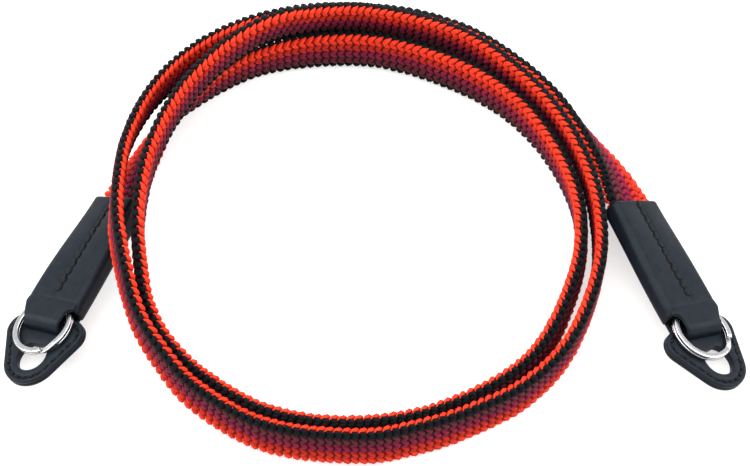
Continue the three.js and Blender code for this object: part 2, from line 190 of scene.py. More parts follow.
sleeve = {
    "width": 15.3, "thickness": 5.1, "length": 31.2, "edge": 1.7, "bendStart": 14, "bendEnd": 28,
    "rollEnd": 28.0, "taperStart": 4,
    "pocketDepth": 9.0, "pocketHalfWidth": 6.95, "pocketHalfHeight": 1.6, "pocketSlack": 0.05,
    "hollowStart": 28.0, "hollowHalfWidth": 6.2, "hollowLow": -2.2, "hollowHigh": 1.65, "hollowCorner": 0.8,
    # the face: a crown, a narrow valley under the stitches, a wide dip beside them; less on the back
    "crown": 0.28, "crownReach": 7.2, "crownPower": 2.2, "valley": 0.42, "valleyWidth": 0.75,
    "dip": 0.16, "dipWidth": 2.6, "pucker": 0.28, "backShare": 0.4,
    # rims as distance along, from the mouth or from the far end, and growth of the section
    "lipStart": 0.5, "lipRadius": 0.55, "lipHeight": 0.35, "lipTurns": (22.5, 45, 67.5),
    "mouthRim": ((0.0, -0.5), (0.1, -0.22), (0.3, -0.06)),
    "farRim": ((-0.2, -0.08), (-0.03, -0.25), (0.0, -0.5)),
    "hollowRim": ((-0.1, 0.15), (-0.6, 0.0)),
    "straight": (0.6, 0.5), "straightSteps": 96,         # from the mouth, and from the far end
    "slopeStart": 28.4, "slope": 0.28,                   # the face sinks a little to the tongue
}
guard = {
    "top": -0.5, "thickness": 2.0, "edge": 0.35, "rear": 32.8, "rearHalfWidth": 9.3, "corner": 2.2,
    "wide": 36.6, "halfWidth": 10.6, "sideRadius": 4.0, "tip": 43.4, "tipRadius": 7.1,
    "holeCentre": 43.3, "holeRadius": 3.8, "slotRear": 35.5, "slotFront": 38.5, "slotHalfWidth": 5.5,
    "pivot": 36.7, "rimPoints": 220, "rimTurns": 1441, "slotTurn": 7.5, "slotReach": 1, "sharpFrom": 48,
    # the rim's profile: distances in from the rim, and how far its rounding falls at the first of them
    "insets": (0, 0.02, 0.12, 0.4, 0.75, 1.0, 1.15, 1.25, 1.35, 1.45, 1.55, 1.7, 1.95),
    "roundDrops": (0.42, 0.24, 0.07, 0),
    # the seam between its two layers, and the lug hole's edge
    "seamDepths": (0, 0.03, 0.22, 0.03, 0), "seamLevels": (0.32, 0.14, 0, -0.14, -0.32),
    "holeInsets": (0.35, 0.08, 0), "holeDrops": (0, 0.1, 0.38), "holeMiddle": (-0.14, 0, 0.14),
}


def smoothAt(knots, values, at):
    # Cubic between the knots, whose slope at each knot is that of the chord between its neighbours
    low = np.maximum(np.arange(len(knots)) - 1, 0)
    high = np.minimum(np.arange(len(knots)) + 1, len(knots) - 1)
    slopes = (values[high] - values[low]) / (knots[high] - knots[low])
    i = np.clip(np.searchsorted(knots, at) - 1, 0, len(knots) - 2)
    span = knots[i + 1] - knots[i]
    t = (at - knots[i]) / span
    rise = values[i + 1] - values[i]
    start = slopes[i] * span
    finish = slopes[i + 1] * span
    square = t ** 2 * (3 * rise - 2 * start - finish)
    cube = t ** 3 * (start + finish - 2 * rise)
    return values[i] + t * start + square + cube


def lowestOf(halfWidth, halfThickness, edge, roll):
    # How far a rolled bar with round edges reaches under its axis
    return (halfWidth - edge) * np.sin(roll) + (halfThickness - edge) * np.cos(roll) + edge


def rollAt(end, a):
    t = smoothStep(a, 0, sleeve["rollEnd"])
    return np.radians(end["mouthRoll"] + (end["ringRoll"] - end["mouthRoll"]) * t)


def placeInEnd(end, a, b, c):
    # An end's own frame: a runs along its axis (straight, a gentle arc, straight), b goes across
    # towards the coil and c up from the face; b and c are turned by the roll and stood on the floor
    a, b, c = np.broadcast_arrays(np.asarray(a, float), b, c)
    heading = np.radians(end["heading"])
    bend = np.radians(end["bend"])
    start, finish = sleeve["bendStart"], sleeve["bendEnd"]
    radius = (finish - start) / bend
    angle = heading + bend * np.clip((a - start) / (finish - start), 0, 1)
    straight = np.minimum(a, start)
    beyond = np.maximum(a - finish, 0)
    x = end["mouthX"] + straight * np.cos(heading) + radius * (np.sin(angle) - np.sin(heading))
    y = end["mouthY"] + straight * np.sin(heading) - radius * (np.cos(angle) - np.cos(heading))
    x = x + beyond * np.cos(angle)
    y = y + beyond * np.sin(angle)
    roll = rollAt(end, a)
    underSleeve = lowestOf(sleeve["width"] / 2, sleeve["thickness"] / 2, sleeve["edge"], roll)
    underGuard = lowestOf(guard["halfWidth"], guard["thickness"] - guard["top"], guard["edge"], roll)
    height = floorGap + underSleeve + (underGuard - underSleeve) * smoothStep(a, 0, sleeve["rollEnd"])
    sideways = (b * np.cos(roll) - c * np.sin(roll)) * end["side"]
    return np.stack([
        x - sideways * np.sin(angle),
        y + sideways * np.cos(angle),
        height + b * np.sin(roll) + c * np.cos(roll),
    ], -1)


def strapRoute():
    # Points down the middle of the strap with its lean: out of one sleeve, round the coil, into the other
    inside = np.array([strap["inSleeve"], strap["inSleeve"] / 2, 0])
    turned, radius, lift, lean = coilRows.T
    half = strap["thickness"] / 2
    rise = lowestOf(half, strap["width"] / 2, half, np.radians(lean))
    angle = np.radians(180 - turned)
    coil = np.stack([
        coilCentre[0] + radius * np.cos(angle),
        coilCentre[1] + radius * np.sin(angle),
        floorGap + lift + rise,
        lean,
    ], 1)
    first, last = ends["left"], ends["right"]
    start = np.column_stack([placeInEnd(first, inside, 0, 0), 90 - np.degrees(rollAt(first, inside))])
    inside = inside[::-1]
    finish = np.column_stack([placeInEnd(last, inside, 0, 0), 90 - np.degrees(rollAt(last, inside))])
    return np.concatenate([start, coil, finish])


route = strapRoute()
routeKnots = np.concatenate([[0], np.cumsum(np.linalg.norm(np.diff(route[:, :3], axis=0), axis=1))])
strapLength = routeKnots[-1]
print("strap length %.1f mm" % strapLength)


def strapAxes():
    # Along the route: the middle, the axis across the width towards the upper edge, and the axis
    # square to the faces away from the coil's centre
    run = np.linspace(0, strapLength, strap["axisSteps"])
    middle = np.stack([smoothAt(routeKnots, route[:, k], run) for k in range(3)], 1)
    lean = np.radians(smoothAt(routeKnots, route[:, 3], run))[:, None]
    travel = np.gradient(middle, run, axis=0)
    travel /= np.linalg.norm(travel, axis=1)[:, None]
    inward = np.cross(travel, (0, 0, 1))
    inward /= np.linalg.norm(inward, axis=1)[:, None]
    upward = np.cross(inward, travel)
    across = upward * np.cos(lean) + inward * np.sin(lean)
    outward = upward * np.sin(lean) - inward * np.cos(lean)
    return run, np.concatenate([middle, across, outward], 1)


axesRun, axesTable = strapAxes()
quarterArc = np.pi / 4 * strap["thickness"]
flatWidth = strap["width"] - strap["thickness"]
aroundStrap = 4 * quarterArc + 2 * flatWidth
arcKnots = np.cumsum([0, quarterArc, flatWidth, 2 * quarterArc, flatWidth, quarterArc])


def onStrap(run, around, height):
    # A point of the strap's flat tube: around is measured from the middle of the upper edge down the
    # inner face, on half-round edges of half the thickness, and height is square to the surface
    around = np.mod(around, aroundStrap)
    turn = np.radians(np.interp(around, arcKnots, [0, 90, 90, 270, 270, 360]))
    side = np.interp(around, arcKnots, np.array([1, 1, -1, -1, 1, 1]) * flatWidth / 2)
    reach = strap["thickness"] / 2 + height
    frames = np.stack([np.interp(run, axesRun, column) for column in axesTable.T], -1)
    width = (side + reach * np.cos(turn))[..., None]
    depth = (-reach * np.sin(turn))[..., None]
    return frames[..., 0:3] + frames[..., 3:6] * width + frames[..., 6:9] * depth


yarn = {
    "ribs": ["orange", "brick", "burgundy", "plum", "black"],  # down the inner face, then up the outer
    "orange": ("#BE2210", "#E83F24"), "brick": ("#94170F", "#BC2C1E"),
    "burgundy": ("#5E0A26", "#861C3A"), "plum": ("#40141D", "#5E242D"), "black": ("#030608", "#0A0E12"),
    "paintedShade": 0.5,            # painted shade: each yarn's dark tone is darkened by this much for the threads deep between the stitches
    "strands": (14, 2.5, 1),     # noise cells round a stitch and along it
    "fibre": 0.16,           # mm across one strand of fibres, drawn about twice as coarse to show
    "twill": 0.5,            # mm across the threads inside the knit
}


def yarnMaterial(name, dark, light):
    # Spun polypropylene yarn, knitted: matt, with fine strands along each stitch and a soft fuzz of
    # loose fibres that brightens its rims; every stitch takes a slightly different tone
    material, tree = newMaterial("spunYarn_" + name)
    run = addNode(tree, "ShaderNodeUVMap", {"uv_map": "yarnRun"})
    tone = addNode(tree, "ShaderNodeAttribute", {"attribute_name": "tone"})
    stretch = addNode(tree, "ShaderNodeMapping", inputs={
        "Vector": run.outputs["UV"], "Scale": yarn["strands"],
    })
    strands = addNode(tree, "ShaderNodeTexNoise", {"noise_dimensions": "4D"}, {
        "Vector": stretch.outputs["Vector"], "W": tone.outputs["Fac"], "Scale": 1.0, "Detail": 3.0,
    })
    place = addNode(tree, "ShaderNodeTexCoord")
    fuzz = addNode(tree, "ShaderNodeTexNoise", inputs={
        "Vector": place.outputs["Object"], "Scale": 1000 / (2 * yarn["fibre"]), "Detail": 4.0,
        "Roughness": 0.65,
    })
    ramp = addNode(tree, "ShaderNodeValToRGB", inputs={"Fac": strands.outputs["Fac"]})
    ramp.color_ramp.elements[0].position = 0.32
    ramp.color_ramp.elements[0].color = toLinear(dark)
    ramp.color_ramp.elements[1].position = 0.68
    ramp.color_ramp.elements[1].color = toLinear(light)
    brightness = addNode(tree, "ShaderNodeMapRange", inputs={
        "Value": tone.outputs["Fac"], "To Min": 0.86, "To Max": 1.12,
    })
    toned = addNode(tree, "ShaderNodeHueSaturation", inputs={
        "Color": ramp.outputs["Color"], "Value": brightness.outputs["Result"],
    })
    strandBump = addNode(tree, "ShaderNodeBump", inputs={
        "Height": strands.outputs["Fac"], "Strength": 0.5, "Distance": 0.00012,
    })
    fuzzBump = addNode(tree, "ShaderNodeBump", inputs={
        "Height": fuzz.outputs["Fac"], "Normal": strandBump.outputs["Normal"], "Strength": 0.45,
        "Distance": 0.00008,
    })
    shader = addNode(tree, "ShaderNodeBsdfPrincipled", inputs={
        "Base Color": toned.outputs["Color"], "Normal": fuzzBump.outputs["Normal"], "Roughness": 0.72,
        "Sheen Weight": 0.02, "Sheen Roughness": 0.4, "Specular IOR Level": 0.1,
    })
    addNode(tree, "ShaderNodeOutputMaterial", inputs={"Surface": shader.outputs["BSDF"]})
    return material


def coreMaterial():
    # The same yarns where they cross inside the knit, with painted shade: each rib's colour is darkened to
    # stand for the shade deep between the stitches, with a coarse twill of threads
    material, tree = newMaterial("knittedCore_paintedShade")
    rib = addNode(tree, "ShaderNodeAttribute", {"attribute_name": "ribColourInPaintedShade"})
    place = addNode(tree, "ShaderNodeTexCoord")
    threads = addNode(tree, "ShaderNodeTexNoise", inputs={
        "Vector": place.outputs["Object"], "Scale": 1000 / yarn["twill"], "Detail": 2.0,
    })
    brightness = addNode(tree, "ShaderNodeMapRange", inputs={
        "Value": threads.outputs["Fac"], "To Min": 0.5, "To Max": 1.3,
    })
    shaded = addNode(tree, "ShaderNodeHueSaturation", inputs={
        "Color": rib.outputs["Color"], "Value": brightness.outputs["Result"],
    })
    bump = addNode(tree, "ShaderNodeBump", inputs={
        "Height": threads.outputs["Fac"], "Strength": 0.4, "Distance": 0.0001,
    })
    shader = addNode(tree, "ShaderNodeBsdfPrincipled", inputs={
        "Base Color": shaded.outputs["Color"], "Normal": bump.outputs["Normal"], "Roughness": 0.9,
        "Specular IOR Level": 0.1,
    })
    addNode(tree, "ShaderNodeOutputMaterial", inputs={"Surface": shader.outputs["BSDF"]})
    return material


faceColumns = strap["columns"] // 2
firstBlack = 2 * (len(yarn["ribs"]) - 1)


def makeCore():
    # The flat tube a little inside the stitches, carried along the route and closed at both ends, with two
    # points to each column of stitches; a point carries its rib's dark tone darkened by painted shade, and
    # the ends are black darkened the same way
    count = 2 * strap["columns"]
    run = np.linspace(0, strapLength, strap["coreSteps"])[:, None]
    around = (np.arange(count) + 0.5)[None, :] * aroundStrap / count + strap["patternShift"]
    rings = onStrap(*np.broadcast_arrays(run, around), -strap["coreInset"])
    points, faces = cappedTube(rings)
    core = makeMesh("strap_core", points, faces, coreMaterial(), ["strap_band"])
    # painted shade: each rib's dark tone is darkened for the threads seen between the stitches
    tones = np.array([toLinear(yarn[name][0]) for name in yarn["ribs"]]) * (*[yarn["paintedShade"]] * 3, 1)
    rib = np.arange(count) // 2 % faceColumns // 2
    perPoint = np.concatenate([np.tile(tones[rib], (len(run), 1)), tones[[-1, -1]]])
    colour = core.data.attributes.new("ribColourInPaintedShade", "FLOAT_COLOR", "POINT")
    colour.data.foreach_set("color", perPoint.astype(np.float32).ravel())


def makeStitches():
    # Each stitch is a seed laid on the flat tube with its long axis tilted from the run, one way in
    # even columns and the other way in odd ones; two columns make a rib of arrowheads, and each
    # yarn has one rib on the inner face and one on the outer
    seed, seedFaces, seedRun = seedShape(strap["seedSides"], strap["seedStations"], strap["seedRadii"])
    random = np.random.default_rng(strap["randomSeed"])
    count = int((strapLength - strap["firstStitch"] - strap["lastStitch"]) / strap["stitchPitch"])
    columnWidth = aroundStrap / strap["columns"]
    for rib, yarnName in enumerate(yarn["ribs"]):
        columns = 2 * rib + np.array([0, 1, faceColumns, faceColumns + 1])
        column = np.repeat(columns, count)[:, None]
        order = np.tile(np.arange(count), len(columns))[:, None]
        inFace = column % faceColumns
        sign = np.where(inFace % 2 == 0, -1, 1)
        jitter = random.normal(0, 1, (4, len(column), 1))
        atEdge = inFace == 0
        along = strap["firstStitch"] + order * strap["stitchPitch"] + strap["spreadAlong"] * jitter[0]
        around = (column + 0.5) * columnWidth + strap["patternShift"] - strap["edgeShift"] * atEdge
        angle = np.radians(strap["tilt"] + strap["spreadTilt"] * jitter[1])
        length = strap["stitchLength"] * np.where(atEdge, strap["edgeLength"], 1)
        width = np.where(atEdge | (inFace >= firstBlack), strap["stitchWidth"], strap["middleWidth"])
        x = seed[None, :, 0] * length / 2
        y = seed[None, :, 1] * width / 2
        level = strap["spreadHeight"] * jitter[2] + strap["edgeRise"] * atEdge - strap["sunk"]
        points = onStrap(
            along + x * np.cos(angle) - y * np.sin(angle) * sign,
            around + x * np.sin(angle) * sign + y * np.cos(angle),
            seed[None, :, 2] * strap["stitchHeight"] + level,
        )
        faces = repeatFaces(seedFaces, len(seed), len(column))
        look = yarnMaterial(yarnName, *yarn[yarnName])
        piece = makeMesh("strap_stitches_" + yarnName, points, faces, look)
        loops = faces[faces >= 0] % len(seed)
        layer = piece.data.uv_layers.new(name="yarnRun")
        layer.data.foreach_set("uv", seedRun[loops].astype(np.float32).ravel())
        tone = piece.data.attributes.new("tone", "FLOAT", "POINT")
        tones = np.repeat(np.clip(0.5 + strap["spreadTone"] * jitter[3], 0, 1), len(seed))
        tone.data.foreach_set("value", tones.astype(np.float32))


makeCore()
makeStitches()
print("strap knitted")


leather = {
    "face": ("#0C1218", "#131A22"),
    "pore": 0.55, "crease": 2.2, "patch": 9,    # mm across; pores are twice the real ones, to show
    "thread": ("#010203", "#07090B"), "ply": 0.18,
}
steel = {"face": "#C6C6C9", "wear": 1.6}        # wear is mm across
tongue = {
    "thickness": 1.1, "halfWidth": 5.1, "end": 37.0, "top": 2.75, "bottom": -3.9, "foldRadius": 2.2,
    "start": 23.0, "fineStart": 31, "back": 28.0, "shoulderHalfWidth": 7.1, "shoulderEnd": 35.4,
    "notchCentre": 33.4, "notchRadius": 2.2, "edge": 0.32, "crown": 0.14,
    "rise": (26.5, 30.5), "startDrop": 0.62,    # it comes out of the sleeve's face
    "press": (29, 33), "pressDrop": 0.12,       # and is pressed down until it clears the sleeve
    "sideRound": (5.6, 1.75), "sideFall": 1.0,  # where its sides fall away there, and over what width
    # points along its path: before and over the ring, on each fold, through the slot and underneath
    "coarseSteps": 14, "fineSteps": 34, "foldSteps": 9, "throughSteps": 6, "backSteps": 12,
}
seam = {
    "pitch": 2.3, "length": 2.4, "width": 1.25, "height": 0.5, "wander": 10,   # degrees off the row
    "sleeveStart": 1.2, "sleeveEnd": 27.0, "fadeIn": (0.2, 1.6), "fadeOut": (26.5, 29.5),
    "guardInset": 1.35, "grooveWidth": 0.3, "grooveDepth": 0.34, "guardLength": 1.5, "guardWidth": 0.75,
    "sleeveRise": 0.16, "guardRise": 0.08,      # of a stitch's middle over the valley and the groove
    "seedStations": (-0.88, -0.5, 0, 0.5, 0.88), "seedRadii": (0.6, 0.92, 1, 0.92, 0.6), "seedSides": 8,
}


def leatherMaterial():
    # Calf leather, drum dyed and smooth finished: near black with a soft satin sheen, shallow pores
    # and slow changes of gloss where it has been handled
    material, tree = newMaterial("calfLeather_smooth")
    place = addNode(tree, "ShaderNodeTexCoord")
    pores = addNode(tree, "ShaderNodeTexVoronoi", {"feature": "SMOOTH_F1"}, {
        "Vector": place.outputs["Object"], "Scale": 1000 / leather["pore"], "Smoothness": 0.5,
    })
    creases = addNode(tree, "ShaderNodeTexNoise", inputs={
        "Vector": place.outputs["Object"], "Scale": 1000 / leather["crease"], "Detail": 5.0,
        "Roughness": 0.6, "Distortion": 0.6,
    })
    patches = addNode(tree, "ShaderNodeTexNoise", inputs={
        "Vector": place.outputs["Object"], "Scale": 1000 / leather["patch"], "Detail": 2.0,
    })
    ramp = addNode(tree, "ShaderNodeValToRGB", inputs={"Fac": creases.outputs["Fac"]})
    ramp.color_ramp.elements[0].position = 0.3
    ramp.color_ramp.elements[0].color = toLinear(leather["face"][0])
    ramp.color_ramp.elements[1].position = 0.7
    ramp.color_ramp.elements[1].color = toLinear(leather["face"][1])
    gloss = addNode(tree, "ShaderNodeMapRange", inputs={
        "Value": patches.outputs["Fac"], "From Min": 0.3, "From Max": 0.7, "To Min": 0.42, "To Max": 0.52,
    })
    poreBump = addNode(tree, "ShaderNodeBump", inputs={
        "Height": pores.outputs["Distance"], "Strength": 0.22, "Distance": 0.00006,
    })
    creaseBump = addNode(tree, "ShaderNodeBump", inputs={
        "Height": creases.outputs["Fac"], "Normal": poreBump.outputs["Normal"], "Strength": 0.25,
        "Distance": 0.00015,
    })
    shader = addNode(tree, "ShaderNodeBsdfPrincipled", inputs={
        "Base Color": ramp.outputs["Color"], "Roughness": gloss.outputs["Result"],
        "Normal": creaseBump.outputs["Normal"], "Specular IOR Level": 0.12,
    })
    addNode(tree, "ShaderNodeOutputMaterial", inputs={"Surface": shader.outputs["BSDF"]})
    return material


def threadMaterial():
    # Bonded polyester sewing thread: black, waxy, with the fine slant of its plies
    material, tree = newMaterial("waxedThread_black")
    place = addNode(tree, "ShaderNodeTexCoord")
    plies = addNode(tree, "ShaderNodeTexNoise", inputs={
        "Vector": place.outputs["Object"], "Scale": 1000 / leather["ply"], "Detail": 2.0, "Distortion": 1.0,
    })
    ramp = addNode(tree, "ShaderNodeValToRGB", inputs={"Fac": plies.outputs["Fac"]})
    ramp.color_ramp.elements[0].color = toLinear(leather["thread"][0])
    ramp.color_ramp.elements[1].color = toLinear(leather["thread"][1])
    bump = addNode(tree, "ShaderNodeBump", inputs={
        "Height": plies.outputs["Fac"], "Strength": 0.5, "Distance": 0.00006,
    })
    shader = addNode(tree, "ShaderNodeBsdfPrincipled", inputs={
        "Base Color": ramp.outputs["Color"], "Normal": bump.outputs["Normal"], "Roughness": 0.5,
        "Specular IOR Level": 0.15,
    })
    addNode(tree, "ShaderNodeOutputMaterial", inputs={"Surface": shader.outputs["BSDF"]})
    return material


def steelMaterial():
    # Spring steel, nickel plated and tumbled: a bright mirror, faintly brushed along the wire by wear
    material, tree = newMaterial("nickelPlatedSteel_polished")
    place = addNode(tree, "ShaderNodeTexCoord")
    wear = addNode(tree, "ShaderNodeTexNoise", inputs={
        "Vector": place.outputs["Object"], "Scale": 1000 / steel["wear"], "Detail": 6.0, "Roughness": 0.7,
    })
    gloss = addNode(tree, "ShaderNodeMapRange", inputs={
        "Value": wear.outputs["Fac"], "From Min": 0.35, "From Max": 0.7, "To Min": 0.16, "To Max": 0.26,
    })
    bump = addNode(tree, "ShaderNodeBump", inputs={
        "Height": wear.outputs["Fac"], "Strength": 0.05, "Distance": 0.00001,
    })
    shader = addNode(tree, "ShaderNodeBsdfPrincipled", inputs={
        "Base Color": toLinear(steel["face"]), "Metallic": 1.0, "Roughness": gloss.outputs["Result"],
        "Normal": bump.outputs["Normal"],
    })
    addNode(tree, "ShaderNodeOutputMaterial", inputs={"Surface": shader.outputs["BSDF"]})
    return material


def roundedBar(halfWidth, low, high, corner, across=36, upright=4, turn=7):
    # For each station a rectangle with round corners, anticlockwise as (across, up): four straight
    # runs and four quarter circles, each with the same number of points at every station
    halfWidth, low, high, corner = np.broadcast_arrays(*map(np.atleast_1d, (halfWidth, low, high, corner)))
    sideways, upward, angles = [], [], []
    steps = np.arange(turn) / turn
    runs = {0: upright, 90: across, 180: upright, 270: across}
    centres = {0: (1, 1), 90: (-1, 1), 180: (-1, -1), 270: (1, -1)}
    for start, (side, rise) in centres.items():
        previous = centres[(start - 90) % 360]
        t = np.arange(runs[start]) / runs[start]
        sideways += [previous[0] + (side - previous[0]) * t, np.full(turn, side)]
        upward += [previous[1] + (rise - previous[1]) * t, np.full(turn, rise)]
        angles += [np.full(runs[start], start), start + 90 * steps]
    sideways, upward = np.concatenate(sideways), np.concatenate(upward)
    angles = np.radians(np.concatenate(angles))
    middle = (low + high)[:, None] / 2
    halfHeight = (high - low)[:, None] / 2
    corner = corner[:, None]
    b = sideways * (halfWidth[:, None] - corner) + corner * np.cos(angles)
    c = middle + upward * (halfHeight - corner) + corner * np.sin(angles)
    return b, c


def faceRelief(a, b):
    # The sleeve's face: a low crown on each side of the stitched middle, and a valley along the
    # stitches that is deeper at each of them, fading out where the strap inside ends
    sewn = smoothStep(a, *seam["fadeIn"]) * (1 - smoothStep(a, *seam["fadeOut"]))
    bulge = sleeve["crown"] * np.clip(1 - (np.abs(b) / sleeve["crownReach"]) ** sleeve["crownPower"], 0, 1)
    pucker = 1 - sleeve["pucker"] * (1 - np.cos(2 * np.pi * (a - seam["sleeveStart"]) / seam["pitch"]))
    valley = sleeve["valley"] * sewn * pucker * np.exp(-(b / sleeve["valleyWidth"]) ** 2)
    return bulge - valley - sleeve["dip"] * sewn * np.exp(-(b / sleeve["dipWidth"]) ** 2)


def sleeveShell(end, name):
    # One closed skin: from deep in the strap's pocket out to the mouth, over its rounded rim, along the
    # outside, over the rim of the far end and into the hollow where the ring turns
    half, height, length = sleeve["width"] / 2, sleeve["thickness"] / 2, sleeve["length"]
    depth, pocketHeight = sleeve["pocketDepth"], sleeve["pocketHalfHeight"]
    turns = np.radians(sleeve["lipTurns"])
    lip = sleeve["lipRadius"] * (1 - np.stack([np.sin(turns), np.cos(turns)]))
    pocket = [[depth, 0], [depth / 2, 0], [sleeve["lipStart"], 0]]
    along = np.linspace(sleeve["straight"][0], length - sleeve["straight"][1], sleeve["straightSteps"])
    fromEnd = np.array([length, 0])
    parts = [
        np.concatenate([pocket, np.column_stack([lip[0], sleeve["lipHeight"] - lip[1]])]),
        np.concatenate([sleeve["mouthRim"], np.column_stack([along, 0 * along]), sleeve["farRim"] + fromEnd]),
        np.concatenate([sleeve["hollowRim"] + fromEnd, [[sleeve["hollowStart"], 0]]]),
    ]
    a, grow = np.concatenate(parts).T
    part = np.repeat([0, 1, 2], [len(rows) for rows in parts])
    # half width, bottom, top and corner of the pocket, the outside and the hollow
    sections = np.array([
        [sleeve["pocketHalfWidth"], -pocketHeight, pocketHeight, pocketHeight - sleeve["pocketSlack"]],
        [half, -height, height, sleeve["edge"]],
        [sleeve["hollowHalfWidth"], sleeve["hollowLow"], sleeve["hollowHigh"], sleeve["hollowCorner"]],
    ])
    halfWidth, low, high, corner = sections[part].T
    slope = np.where(part == 1, sleeve["slope"] * smoothStep(a, sleeve["slopeStart"], length), 0)
    corner = corner + np.select([part == 0, part == 1], [grow, np.minimum(grow, 0)], 0)
    b, c = roundedBar(halfWidth + grow, low - grow, high + grow - slope, corner)
    drawnIn = end["taper"] * smoothStep(a, sleeve["taperStart"], length)[:, None] / half
    b = np.where((part > 0)[:, None] & (b < 0), b * (1 - drawnIn), b)
    share = np.where(c > 0, 1, sleeve["backShare"]) * c / height
    c = c + np.where((part == 1)[:, None], faceRelief(a[:, None], b) * share, 0)
    points, faces = cappedTube(placeInEnd(end, a[:, None], b, c), flip=end["side"] > 0)
    makeMesh(name, points, faces, leatherFinish, [name.split("_")[0] + "_sleeve"])


def tongueStrip(end, name):
    # A strip of leather carried along its fold: straight over the ring, round, straight down through
    # the slot, round, and back underneath; its sides are cut in at the shoulder, by a notch on the
    # raised side and a slant on the low one
    half, edge = tongue["thickness"] / 2, tongue["edge"]
    radius = tongue["foldRadius"] - half
    top, bottom = tongue["top"] - half, tongue["bottom"] + half
    centre = tongue["end"] - tongue["foldRadius"]

    def onFold(turns, level):
        return np.column_stack([centre + radius * np.sin(turns), level + radius * np.cos(turns), turns])

    coarse = np.linspace(tongue["start"], tongue["fineStart"], tongue["coarseSteps"])[:-1]
    straight = np.concatenate([coarse, np.linspace(tongue["fineStart"], centre, tongue["fineSteps"])])
    upper = np.radians(np.linspace(0, 90, tongue["foldSteps"]))[1:]
    lower = np.radians(np.linspace(90, 180, tongue["foldSteps"]))
    through = np.linspace(top - radius, bottom + radius, tongue["throughSteps"])[1:-1]
    inSlot = np.full(len(through), centre + radius)
    back = np.linspace(centre, tongue["back"], tongue["backSteps"])[1:]
    path = np.concatenate([
        np.column_stack([straight, np.full(len(straight), top), np.zeros(len(straight))]),
        onFold(upper, top - radius),
        np.column_stack([inSlot, through, np.full(len(through), np.pi / 2)]),
        onFold(lower, bottom + radius),
        np.column_stack([back, np.full(len(back), bottom), np.full(len(back), np.pi)]),
    ])
    a, level, angle = path.T
    onTop = angle == 0
    pressed = 1 - smoothStep(a, *tongue["press"])
    drop = tongue["startDrop"] * (1 - smoothStep(a, *tongue["rise"])) + tongue["pressDrop"] * pressed
    level = level - np.where(onTop, drop, 0)
    wide, narrow = tongue["shoulderHalfWidth"], tongue["halfWidth"]
    fromNotch = a - tongue["notchCentre"]
    cut = np.sqrt(np.clip(tongue["notchRadius"] ** 2 - fromNotch ** 2, 0, None))
    inNotch = onTop & (fromNotch > -tongue["notchRadius"]) & (fromNotch < 0)
    beforeNotch = onTop & (fromNotch <= -tongue["notchRadius"])
    notched = np.minimum(narrow + tongue["notchRadius"] - cut, wide)
    raised = np.select([beforeNotch, inNotch], [wide, notched], narrow)
    drawnIn = end["taper"] * smoothStep(a, sleeve["taperStart"], sleeve["length"])
    slant = np.interp(a, [sleeve["length"], tongue["shoulderEnd"]], [wide, narrow]) - drawnIn
    low = np.where(onTop, np.maximum(slant, narrow), narrow)
    b, c = roundedBar(1.0, -half, half, edge, across=20, upright=2, turn=4)
    reach = np.where(b > 0, raised[:, None], low[:, None])
    flat = np.abs(b)
    across = np.sign(b) * np.where(flat > 1 - edge, reach - 1 + flat, flat * (reach - edge) / (1 - edge))
    sideStart, sideWidth = tongue["sideRound"]
    beyond = np.clip((np.abs(across) - sideStart) / sideWidth, 0, 1)
    fall = tongue["sideFall"] * np.where(onTop, pressed, 0)[:, None] * (1 - np.sqrt(1 - beyond ** 2))
    crown = np.where(onTop[:, None], tongue["crown"] * (1 - (across / reach) ** 2), 0)
    outward = c - fall + crown
    along = a[:, None] + outward * np.sin(angle)[:, None]
    height = level[:, None] + outward * np.cos(angle)[:, None]
    points, faces = cappedTube(placeInEnd(end, along, across, height), flip=end["side"] > 0)
    makeMesh(name, points, faces, leatherFinish)


def guardRim(count):
    # The guard's rim as a thread stretched round its corner, side and tip circles, at even steps
    # along it, with the direction square to the rim at each step
    angle = np.radians(np.linspace(-180, 180, guard["rimTurns"]))
    circles = np.array([
        [guard["rear"] + guard["corner"], guard["rearHalfWidth"] - guard["corner"], guard["corner"]],
        [guard["wide"], guard["halfWidth"] - guard["sideRadius"], guard["sideRadius"]],
        [guard["tip"], 0, guard["tipRadius"]],
    ])
    x, y = np.cos(angle), np.sin(angle)
    reach = circles[:, :1] * x + circles[:, 1:2] * np.abs(y) + circles[:, 2:]
    widest = circles[reach.argmax(0)]
    rim = np.column_stack([widest[:, 0] + widest[:, 2] * x, np.sign(y) * widest[:, 1] + widest[:, 2] * y])
    length = np.concatenate([[0], np.cumsum(np.linalg.norm(np.diff(rim, axis=0), axis=1))])
    at = np.arange(count) / count * length[-1]
    a, b, turn = (np.interp(at, length, column) for column in (rim[:, 0], rim[:, 1], angle))
    return a, b, turn, length[-1]


def turnGuard(end, a, b):
    # The guard is turned outwards by its yaw about the middle of its slot
    yaw = np.radians(end["guardYaw"])
    ahead = a - guard["pivot"]
    return guard["pivot"] + ahead * np.cos(yaw) + b * np.sin(yaw), b * np.cos(yaw) - ahead * np.sin(yaw)


